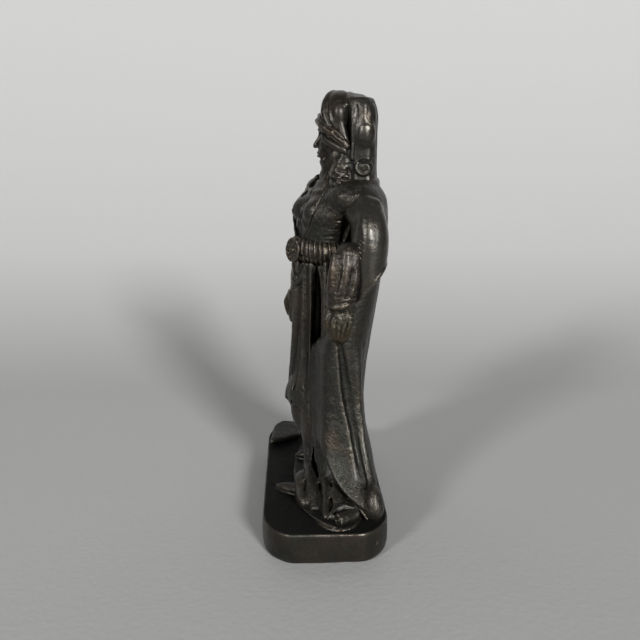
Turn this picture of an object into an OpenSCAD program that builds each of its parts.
// Bronze statuette: a standing figure in a folded headdress, open vest, sash, long skirt and
// wide cloak, on a long rounded base. Section castings are pinned together and bolted down.
// Millimetres, +Z up. The origin is the middle of the base's resting face. The base is long
// in X. The figure faces -Y and its left side is +X.

/* [Base] */
// Length of the base, left to right
base_l = 108; // [104:1:120]
// Width of the base, front to back
base_w = 48; // [48:1:56]
// Height of the base's ground above the resting face
base_h = 11.5; // [10:0.5:15]
// Corner radius measured along the base's length
corner_l = 18; // [12:1:20]
// Corner radius measured across the base's width
corner_w = 13; // [10:1:16]
// Thickness of the base's side wall
base_wall = 3.5; // [2.5:0.5:4.5]
// Thickness of the base's deck
deck = 4; // [3:0.5:5]
// Height of the raised rim round the ground
rim_h = 0.8; // [0.4:0.1:1.2]
// Width of the raised rim
rim_w = 2; // [1.5:0.1:3]
// Height of the rock ledge above the ground
ledge_h = 4; // [3:0.5:6]

/* [Figure] */
// Turn of the waist and chest towards the figure's left
body_turn = 20; // [14:1:24]
// Turn of the head back to the figure's right
head_turn = -6; // [-14:1:0]
// Slope of the brow band, down towards the back
brow_tilt = 20; // [14:1:26]
// Height of the brow band
brow_h = 3.6; // [3:0.1:4.4]
// Thickness of the figure's own ground plate
plate_t = 1.5; // [1.2:0.1:2]
// Thickness of the cloak
cloak_t = 3; // [2.5:0.5:3.5]
// Thickness of the vest
vest_t = 1.6; // [1.2:0.1:2]
// Radius of the sash, up and down
sash_up = 5.2; // [4.6:0.1:5.6]
// Radius of the sash, in and out
sash_out = 3.4; // [3:0.1:3.8]
// Number of gathers round the sash
sash_gathers = 26; // [18:1:32]
// Diameter of the medallion
medallion_d = 10; // [8:0.5:11]
// Thickness of the medallion
medallion_t = 3.4; // [3:0.1:3.8]
// Length of the scroll on the ground
scroll_l = 8; // [6:0.5:9]

/* [Fixings] */
// Diameter of the two base studs
stud_d = 4; // [3:0.5:4]
// Diameter of the pins between castings
pin_d = 3; // [2.5:0.5:3.5]
// Depth of a pin in each casting
pin_in = 8.5; // [8.5:0.5:9]
// Distance of each base stud from the middle
stud_x = 13; // [11:1:15]
// Clearance on the diameter round each stud in the deck
stud_play = 0.4; // [0.2:0.1:0.6]
// Width of the nuts across flats
nut_af = 7; // [6:0.5:7]
// Height of the nuts
nut_h = 3.2; // [2.4:0.2:3.2]
// Diameter of the washers
washer_d = 9; // [8:0.5:10]
// Thickness of the washers
washer_t = 0.8; // [0.6:0.1:1]

/* [Hidden] */

bronze = "#2e2a27";
bronze_light = "#3a3430";
bronze_warm = "#46362a";
steel = "#8a8a88";

// Facets of balls, of round bars and holes, and of each oval slice
fine = 24;
round_n = 48;
ring_n = 32;
// Length by which a cutting form runs past the face that it cuts
past = 1;

// Places that several pieces share, measured from the ground plate's underside
stud_y = 4;
stud_in = 14;
axis_y = 3;
waist_z = 92.5;
neck_y = 5;
neck_z = 121.5;
shoulder_z = 114;
shoulder_x = 15;
shoulder_pin_l = 12;
chin_z = 129;
head_y = 6;

// Ledge corners: middle x and y, radius and drop below the ledge's top
ledge_corners = [[-44, -16.5, 5, 0], [-26, -20, 3.2, 0], [-33, -11.5, 3, 0.8], [-46, -11.5, 3.5, 0.8]];
// Ground plate: middle, and half length and half width
plate_at = [3, 5];
plate_half = [47.5, 15.5];
// Feet: heel, ball and toe, and their radii
left_foot_at = [[22, -5, 3.6], [20.5, -11, 3.2], [18.5, -16.4, 2.9]];
right_foot_at = [[-10, -4, 3.6], [-10.5, -9, 3.2], [-11, -13.5, 2.9]];
foot_r = [3.4, 2.6, 1.5];
// Chest: half spacing, depth, height and radius of its two rounded forms
chest_at = [6.2, -4.9, 112];
chest_r = 4.1;
// Front opening of the vest: its height in the middle, and its outline across and up
vest_open_z = 100;
vest_open = [[-2, -12], [2, -12], [8.5, 12], [7, 24], [-7, 24], [-8.5, 12]];
// Sash: middle, half width and half depth of its path, and facets round it and across it
sash_at = [0, 2.4, 96];
sash_half = [14.2, 11.2];
sash_around = 52;
sash_tube = 8;
// Medallion: middle and turn
medallion_at = [0, -11.4, 96.8];
medallion_turn = [86, 0, 12];
// Head: neck radius, middle and radius of the cranium and of the jaw, and the nose
neck_r = 5.2;
cranium = [[0, 2.4, 12.8], 7.6];
jaw = [[0, -2.4, 4], 3.8];
nose = [[[0, -4.6, 13], 1.2], [[0, -6.2, 9], 1.5]];
// Brow band: middle, and half width and half depth
brow_at = [0, 2.9, 13.5];
brow_half = [11.2, 9.6];
// Bosses at the sides of the veil
boss_at = [11.6, 10, 10.5];
boss_r = 2.8;
// Sleeves: shoulder, middle and hem, and their radii
left_arm = [[20, 15.3, 113.5], [25, 16.2, 103], [25.5, 15.5, 88]];
right_arm = [[-18.5, -0.5, 114.5], [-24, 2, 104], [-25.5, 3, 86]];
sleeve_r = [7, 7.2, 5.6];
// Forearms and fists
left_elbow = [29, 9, 98.5];
left_wrist = [30.5, 5, 82];
left_fist = [31, 3.8, 72.5];
right_elbow = [-28, -3, 94];
right_wrist = [-28, -8.5, 76];
right_fist = [-27.5, -11.2, 63.5];
elbow_r = 5.8;
wrist_r = 4.6;
palm = [[[0, 0.6, 4], 4.2], [[0, 1, -3], 4.4]];
finger_at = [2.6, -2.6, 4.2];
finger_step = [-0.5, 0.3, -3.1];
finger_curl = [1.2, 4.6, -0.6];
finger_r = [1.9, 1.8];
finger_n = 20;
// Scroll: middle, turn, radius and the radius of its hollow end
scroll_at = [46.4, 7.4, 2.9];
scroll_turn = [90, 0, 30];
scroll_r = 2.6;
scroll_hollow_r = 1.1;
scroll_hollow_l = 3;

// Oval slices that the castings are lofted through. Each row is height, middle x, middle y,
// half width, half depth, turn and squareness (2 is an ellipse).
skirt_rows = [
    [plate_t, 2, 5, 35, 12.5, 0, 2.4],
    [8.5, 2, 5, 28, 12, 0, 2.2],
    [18.5, 1, 4, 22.5, 11, 3, 2],
    [32.5, 0, 3, 19.5, 11, 6, 2],
    [48.5, 0, 2.5, 18.5, 11.5, 10, 2],
    [68.5, 0, 3, 17.5, 12.5, 16, 2],
    [84.5, 0, 3, 15.5, 12, 20, 2],
    [waist_z, 0, axis_y, 13, 10.5, 20, 2]
];
panel_rows = [
    [31.5, -1, -4.5, 14, 10.5, 4, 2],
    [44, 0, -3, 13, 10.4, 8, 2],
    [60, 1, -2, 12, 10.2, 14, 2],
    [78, 2, -1.5, 11.5, 10.5, 18, 2],
    [90, 2, -0.5, 11, 10.5, 20, 2]
];
torso_rows = [
    [waist_z, 0, axis_y, 12, 9.5, 0, 2],
    [98, 0, axis_y, 12, 9.5, 0, 2],
    [106, 0, 3.5, 14.5, 10.5, 0, 2.2],
    [112, 0, 4, 16.5, 10.5, 0, 2.3],
    [117, 0, 4.5, 15.5, 9, 0, 2.2],
    [120, 0, neck_y, 11, 7, 0, 2],
    [neck_z, 0, neck_y, 7, 5.6, 0, 2]
];
cloak_rows = [
    [0, 0, 8, 47, 14.6, 0, 5],
    [7.5, 0, 8, 42, 13.6, 0, 3.6],
    [15.5, 0, 7, 36, 13.5, 0, 3],
    [26.5, 0, 6, 31.5, 12, 0, 2.6],
    [36.5, 0, 6, 29.5, 11.3, 0, 2.4],
    [48.5, 0, 6, 29, 12, 0, 2.3],
    [61.5, 0, 7, 29, 12.8, 0, 2.3],
    [78.5, 0, 8.2, 29, 13.5, 3, 2.6],
    [94.5, 0, 9, 28.5, 13.8, 6, 3],
    [110.5, 0, 9.2, 26.5, 13, 8, 3.2],
    [118.5, 0, 10.5, 22, 10.5, 8, 2.4],
    [122, 0, 11.5, 14, 8, 6, 2]
];
// Small flutes round the panel, the headdress and the cloak: share of the size, and number
panel_flute = [0.03, 20];
headdress_flute = [0.04, 8];
cloak_flute = [0.012, 10];
// Height above which the cloak is solid, behind the neck
cloak_solid_z = 100;
// Side outline, as y and z, of what the cloak leaves open at the front
cloak_front = [
    [-60, -2], [21.5, -2], [20.5, 1], [-1, 22.5], [-1.5, 60], [12, 84], [13, 124], [-60, 124]
];
headdress_rows = [
    [6, 0, 2.8, 10.4, 8.6, 0, 2],
    [17, 0, 2.8, 11.8, 9, 0, 2],
    [22, 0, 2.9, 11.8, 8.6, 0, 2],
    [25.5, 0, 2.6, 9, 6.2, 0, 2],
    [27.5, 0, 2.4, 5, 3.2, 0, 2]
];
veil_rows = [
    [-7, 0, 9.9, 14, 5.6, 0, 3.4],
    [0, 0, 9.7, 12.6, 5.6, 0, 3.4],
    [12, 0, 9.6, 12.4, 5.8, 0, 3.4],
    [21, 0, 9.4, 12.4, 5.8, 0, 3.4],
    [24.5, 0, 9, 11, 5, 0, 3]
];

function bend(v, p) = sign(v) * pow(abs(v), p);

function slice(row, grow, flute) = [
    for (i = [0 : ring_n - 1])
        let (
            a = 360 * i / ring_n,
            swell = 1 + flute[0] * cos(flute[1] * a),
            x = (row[3] + grow) * swell * bend(cos(a), 2 / row[6]),
            y = (row[4] + grow) * swell * bend(sin(a), 2 / row[6]),
            t = row[5]
        )
        [row[1] + x * cos(t) - y * sin(t), row[2] + x * sin(t) + y * cos(t), row[0]]
];

// Solid skin through a list of rings that all have ring_n points
module skin(rings) {
    last = len(rings) - 1;
    sides = [
        for (k = [0 : last - 1], i = [0 : ring_n - 1])
            let (a = k * ring_n + i, b = k * ring_n + (i + 1) % ring_n)
            each [[b, a, a + ring_n], [b, a + ring_n, b + ring_n]]
    ];
    bottom = [for (i = [0 : ring_n - 1]) i];
    top = [for (i = [ring_n - 1 : -1 : 0]) last * ring_n + i];
    polyhedron([for (r = rings) each r], concat(sides, [bottom, top]), convexity = 6);
}

module loft(rows, grow = 0, flute = [0, 1]) {
    skin([for (r = rows) slice(r, grow, flute)]);
}

// Rounded limb through a list of balls, each given as centre and radius
module limb(balls, facets = fine) {
    for (i = [0 : len(balls) - 2]) hull() {
        translate(balls[i][0]) sphere(balls[i][1], $fn = facets);
        translate(balls[i + 1][0]) sphere(balls[i + 1][1], $fn = facets);
    }
}

// Plain round bar, used for pins, studs and the holes that they go in
module bar(length, diameter) {
    cylinder(h = length, d = diameter, $fn = round_n);
}

// Everything on the ground is placed in the figure's frame
module on_ground() {
    translate([0, 0, base_h]) children();
}

module turned_body() {
    translate([0, axis_y, 0]) rotate(body_turn) translate([0, -axis_y, 0]) children();
}

module head_frame() {
    translate([0, head_y, chin_z]) rotate(head_turn) children();
}

// Rectangle with elliptical corners
module base_outline(inset) {
    half_l = base_l / 2 - inset;
    half_w = base_w / 2 - inset;
    rl = corner_l - inset;
    rw = corner_w - inset;
    steps = 10;
    polygon([
        for (q = [0 : 3], k = [0 : steps])
            let (
                a = 90 * (q + k / steps),
                sx = (q == 0 || q == 3) ? 1 : -1,
                sy = q < 2 ? 1 : -1
            )
            [sx * (half_l - rl) + rl * cos(a), sy * (half_w - rw) + rw * sin(a)]
    ]);
}

module at_studs() {
    for (sx = [-1, 1]) translate([sx * stud_x, stud_y, 0]) children();
}

module base_casting() color(bronze) difference() {
    linear_extrude(base_h + rim_h) base_outline(0);
    translate([0, 0, base_h]) linear_extrude(rim_h + past) base_outline(rim_w);
    translate([0, 0, -past]) linear_extrude(base_h - deck + past) base_outline(base_wall);
    at_studs() translate([0, 0, -past]) bar(base_h + 2 * past, stud_d + stud_play);
}

module rock_ledge() color(bronze_warm) on_ground() hull() {
    for (c = ledge_corners) translate([c[0], c[1], 0]) cylinder(h = ledge_h - c[3], r = c[2], $fn = fine);
}

module ground_plate() color(bronze) on_ground() difference() {
    linear_extrude(plate_t) intersection() {
        translate(plate_at) scale(plate_half) circle(1, $fn = round_n);
        square([base_l, base_w] - 2 * [rim_w, rim_w], center = true);
    }
    at_studs() translate([0, 0, -past]) bar(plate_t + 2 * past, stud_d);
}

module skirt_form() loft(skirt_rows);
module panel_form() loft(panel_rows, 0, panel_flute);
module torso_form() turned_body() loft(torso_rows);

// The vest covers the torso's rows from the second to the fifth
module vest_form() turned_body() loft([for (i = [1 : 4]) torso_rows[i]], vest_t);

module chest_form() turned_body() {
    for (sx = [-1, 1]) translate([sx * chest_at[0], chest_at[1], chest_at[2]]) sphere(chest_r, $fn = fine);
}

module skirt() color(bronze) on_ground() difference() {
    skirt_form();
    at_studs() bar(stud_in, stud_d);
    translate([0, axis_y, waist_z - pin_in]) bar(pin_in + past, pin_d);
}

module skirt_panel() color(bronze) on_ground() difference() {
    panel_form();
    skirt_form();
}

// Everything below the top of the ground plate
module below_plate() {
    translate([-base_l / 2, -base_w / 2, plate_t - base_h]) cube([base_l, base_w, base_h]);
}

module foot(path) difference() {
    limb([for (i = [0 : 2]) [path[i], foot_r[i]]]);
    skirt_form();
    below_plate();
}

module left_foot() color(bronze) on_ground() foot(left_foot_at);
module right_foot() color(bronze) on_ground() foot(right_foot_at);

// The neck runs from just inside the collar up into the head
module neck_form() limb([[[0, neck_y, neck_z - 3], neck_r], [[0, head_y, chin_z + 5], neck_r]]);

module sash_form() {
    points = [
        for (i = [0 : sash_around - 1], j = [0 : sash_tube - 1])
            let (
                a = 360 * i / sash_around,
                b = 360 * j / sash_tube,
                swell = 1 + 0.06 * cos(sash_gathers * a),
                out = sash_out * swell * cos(b)
            )
            [(sash_half[0] + out) * cos(a), (sash_half[1] + out) * sin(a), sash_up * sin(b)]
    ];
    faces = [
        for (i = [0 : sash_around - 1], j = [0 : sash_tube - 1])
            let (
                n = (i + 1) % sash_around,
                m = (j + 1) % sash_tube,
                p = i * sash_tube + j,
                q = n * sash_tube + j,
                r = n * sash_tube + m,
                s = i * sash_tube + m
            )
            each [[p, s, q], [q, s, r]]
    ];
    turned_body() translate(sash_at) polyhedron(points, faces, convexity = 6);
}

module medallion_form() {
    turned_body() translate(medallion_at) rotate(medallion_turn) {
        cylinder(h = medallion_t, d = medallion_d, center = true, $fn = round_n);
    }
}

module neck_bore() {
    translate([0, neck_y, neck_z - pin_in]) bar(2 * pin_in, pin_d);
}

module torso() color(bronze_warm) on_ground() difference() {
    union() {
        torso_form();
        chest_form();
    }
    translate([0, axis_y, waist_z - past]) bar(pin_in + past, pin_d);
    neck_bore();
    shoulder_bores();
    neck_form();
}

module shoulder_bores() {
    turned_body() translate([0, neck_y, shoulder_z]) rotate([0, 90, 0]) {
        for (sx = [-1, 1]) translate([0, 0, sx * shoulder_x - shoulder_pin_l / 2]) {
            bar(shoulder_pin_l, pin_d);
        }
    }
}

module vest() color(bronze_light) on_ground() difference() {
    vest_form();
    torso_form();
    sash_form();
    shoulder_bores();
    chest_form();
    turned_body() translate([0, -2, vest_open_z]) rotate([90, 0, 0]) linear_extrude(20) {
        polygon(vest_open);
    }
}

module sash() color(bronze_light) on_ground() difference() {
    sash_form();
    skirt_form();
    torso_form();
    medallion_form();
}

module medallion() color(bronze) on_ground() medallion_form();

// Plain oval of the head, from the cranium to the jaw
module head_oval() {
    head_frame() limb([cranium, jaw]);
}

module head_outer() {
    neck_form();
    head_oval();
}

// Plain head on a short neck, with a simple nose
module head() color(bronze_warm) on_ground() difference() {
    union() {
        neck_form();
        head_oval();
        head_frame() limb(nose, 16);
    }
    neck_bore();
}

module veil_form() head_frame() loft(veil_rows);

// Frame of the brow band's middle plane, which is high at the brow and low behind
module brow_frame() {
    head_frame() translate(brow_at) rotate([-brow_tilt, 0, 0]) children();
}

module brow_form() {
    brow_frame() linear_extrude(brow_h, center = true) scale(brow_half) circle(1, $fn = round_n);
}

module headdress() color(bronze) on_ground() difference() {
    head_frame() loft(headdress_rows, 0, headdress_flute);
    brow_frame() translate([0, 0, brow_h / 2 - 20]) cube(40, center = true);
    head_outer();
    veil_form();
}

module brow_band() color(bronze_warm) on_ground() difference() {
    brow_form();
    head_outer();
    veil_form();
}

module hair_veil() color(bronze) on_ground() difference() {
    veil_form();
    head_outer();
    torso_form();
    vest_form();
}

module headdress_bosses() color(bronze_light) on_ground() difference() {
    head_frame() {
        for (sx = [-1, 1]) translate([sx * boss_at[0], boss_at[1], boss_at[2]]) sphere(boss_r, $fn = fine);
    }
    veil_form();
    head_outer();
    brow_form();
}

// Sleeve over the shoulder and upper arm
module sleeve_form(arm) limb([for (i = [0 : 2]) [arm[i], sleeve_r[i]]]);

module forearm_form(elbow, wrist) limb([[elbow, elbow_r], [wrist, wrist_r]]);

module fist_form(middle) translate(middle) {
    limb(palm);
    for (k = [0 : 3]) translate(finger_at + k * finger_step) {
        limb([[[0, 0, 0], finger_r[0]], [finger_curl, finger_r[1]]], finger_n);
    }
}

module sleeve(arm, elbow, wrist) difference() {
    sleeve_form(arm);
    forearm_form(elbow, wrist);
    torso_form();
    vest_form();
    shoulder_bores();
    neck_form();
}

module left_sleeve() color(bronze_light) on_ground() sleeve(left_arm, left_elbow, left_wrist);
module right_sleeve() color(bronze_light) on_ground() sleeve(right_arm, right_elbow, right_wrist);

module forearm(elbow, wrist, fist) difference() {
    forearm_form(elbow, wrist);
    fist_form(fist);
    vest_form();
    sash_form();
    skirt_form();
}

module left_forearm() color(bronze_warm) on_ground() forearm(left_elbow, left_wrist, left_fist);
module right_forearm() color(bronze_warm) on_ground() forearm(right_elbow, right_wrist, right_fist);

module left_hand() color(bronze_warm) on_ground() difference() {
    fist_form(left_fist);
    skirt_form();
}

module right_hand() color(bronze_warm) on_ground() difference() {
    fist_form(right_fist);
    skirt_form();
}

// Wide cloak: an outer skin less the same skin set in, open at the front
module cloak() color(bronze) on_ground() difference() {
    loft(cloak_rows, 0, cloak_flute);
    loft([for (r = cloak_rows) if (r[0] < cloak_solid_z) r], -cloak_t, cloak_flute);
    rotate([90, 0, 90]) linear_extrude(base_l, center = true) polygon(cloak_front);
    skirt_form();
    torso_form();
    vest_form();
    head_outer();
    veil_form();
    sleeve_form(left_arm);
    sleeve_form(right_arm);
    forearm_form(left_elbow, left_wrist);
    forearm_form(right_elbow, right_wrist);
    fist_form(left_fist);
    fist_form(right_fist);
    sash_form();
}

module scroll() color(bronze_light) on_ground() translate(scroll_at) rotate(scroll_turn) {
    difference() {
        cylinder(h = scroll_l, r = scroll_r, center = true, $fn = round_n);
        translate([0, 0, scroll_l / 2 - scroll_hollow_l / 2]) bar(scroll_hollow_l, 2 * scroll_hollow_r);
    }
}

// The studs start this far above the resting face
stud_z = 1;

module base_studs() color(steel) at_studs() translate([0, 0, stud_z]) {
    bar(base_h - stud_z + stud_in, stud_d);
}

module stud_washers() color(steel) at_studs() translate([0, 0, base_h - deck - washer_t]) {
    difference() {
        bar(washer_t, washer_d);
        translate([0, 0, -past]) bar(washer_t + 2 * past, stud_d);
    }
}

module stud_nuts() color(steel) at_studs() translate([0, 0, base_h - deck - washer_t - nut_h]) {
    difference() {
        cylinder(h = nut_h, d = nut_af / cos(30), $fn = 6);
        translate([0, 0, -past]) bar(nut_h + 2 * past, stud_d);
    }
}

module waist_pin() color(steel) on_ground() {
    translate([0, axis_y, waist_z - pin_in]) bar(2 * pin_in, pin_d);
}

module neck_pin() color(steel) on_ground() neck_bore();

module shoulder_pins() color(steel) on_ground() shoulder_bores();

base_casting();
rock_ledge();
ground_plate();
skirt();
skirt_panel();
left_foot();
right_foot();
torso();
vest();
sash();
medallion();
head();
headdress();
brow_band();
hair_veil();
headdress_bosses();
left_sleeve();
left_forearm();
left_hand();
right_sleeve();
right_forearm();
right_hand();
cloak();
scroll();
base_studs();
stud_washers();
stud_nuts();
waist_pin();
neck_pin();
shoulder_pins();
